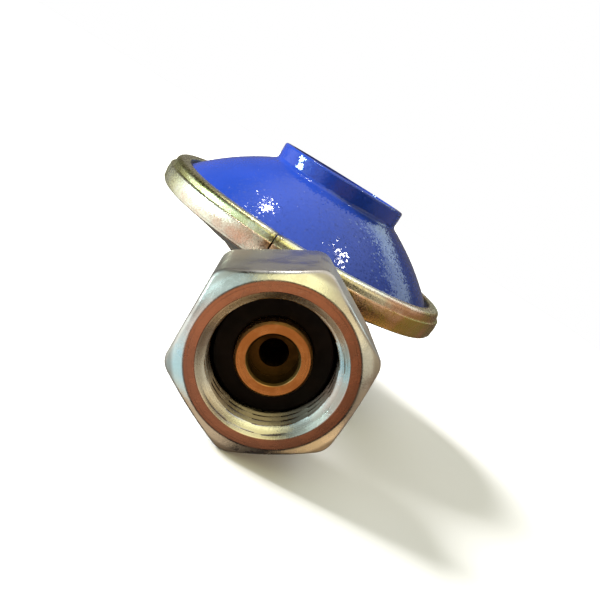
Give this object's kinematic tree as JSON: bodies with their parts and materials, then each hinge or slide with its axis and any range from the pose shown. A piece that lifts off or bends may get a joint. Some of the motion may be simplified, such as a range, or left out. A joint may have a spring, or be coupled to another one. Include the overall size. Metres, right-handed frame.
{
  "type": "gas pressure regulator",
  "caption": "Low-pressure butane gas regulator: hexagon union nut with sealing washer, sprung diaphragm under a coned cover and rolled ring, inner lever valve and hose nozzle.",
  "frame": {"origin": "centre of the sealing washer's front face, on the inlet axis", "axes": "+Y along the inlet axis from the inlet to the outlet, +Z from the inlet axis to the hub, +X to the right when looking into the inlet with the hub on top"},
  "size_m": [0.0706, 0.1225, 0.0458],
  "materials": {
    "nut_steel": "zinc plated, turned",
    "steel": "plain steel",
    "spring_steel": "drawn wire",
    "rubber": "moulded, matt",
    "brass": "machined brass",
    "sintered_bronze": "sintered",
    "cast_zinc": "die cast, as cast",
    "yellow_zinc": "yellow passivated zinc",
    "blue_paint": "gloss, orange peel",
    "cap_plastic": "moulded",
    "fibre": "pressed fibre"
  },
  "bodies": {
    "body": {"body_casting": "cast_zinc", "inlet_jet": "brass", "lever_pin": "steel", "pin_keeper": "steel", "keeper_screws": "steel", "inlet_filter": "sintered_bronze", "inlet_nipple": "brass", "sealing_washer": "rubber", "cover": "blue_paint", "crimp_ring": "yellow_zinc", "hub_cap": "cap_plastic", "outlet_seal": "fibre", "outlet_nozzle": "brass", "diaphragm": "rubber"},
    "slip_ring": {"nut_slip_ring": "steel"},
    "union_nut": {"union_nut": "nut_steel"},
    "plunger": {"valve_plunger": "brass", "valve_pad": "rubber"},
    "lever": {"lever": "steel"},
    "diaphragm_stack": {"diaphragm_stem": "brass", "lower_plate": "steel", "spring_plate": "steel", "stem_nut": "steel", "main_spring": "spring_steel"},
    "spring_seat": {"spring_seat": "steel"},
    "adjusting_plug": {"adjusting_plug": "brass"}
  },
  "joints": [
    {"name": "nut_slide", "type": "slide", "parent": "body", "child": "slip_ring", "axis": [0, 1, 0], "range_m": [-0.0019, 0.0016]},
    {"name": "nut_spin", "type": "hinge", "parent": "slip_ring", "child": "union_nut", "pos_m": [0, 0, 0], "axis": [0, 1, 0], "continuous": true},
    {"name": "diaphragm_lift", "type": "slide", "parent": "body", "child": "diaphragm_stack", "axis": [0, 0, 1], "range_m": [0, 0.0022], "stiffness_N_per_m": 700, "springref_m": -0.006, "deforming": ["main_spring", "diaphragm"]},
    {"name": "lever_turn", "type": "hinge", "parent": "body", "child": "lever", "pos_m": [0, 0.06803, 0.0065], "axis": [-1, 0, 0], "range_deg": [0, 7.5]},
    {"name": "valve_close", "type": "slide", "parent": "body", "child": "plunger", "axis": [0, -1, 0], "range_m": [0, 0.00085]},
    {"name": "plug_turn", "type": "hinge", "parent": "spring_seat", "child": "adjusting_plug", "pos_m": [0, 0.05103, 0.024], "axis": [0, 0, 1], "range_deg": [-288, 180]},
    {"name": "seat_move", "type": "slide", "parent": "body", "child": "spring_seat", "axis": [0, 0, 1], "range_m": [-0.00121, 0.00076]}
  ],
  "couplings": [
    {"joint": "lever_turn", "follows": "diaphragm_lift", "rad_per_m": 58.824},
    {"joint": "valve_close", "follows": "diaphragm_lift", "ratio": 0.38235},
    {"joint": "seat_move", "follows": "plug_turn", "m_per_rad": 0.00023873}
  ]
}
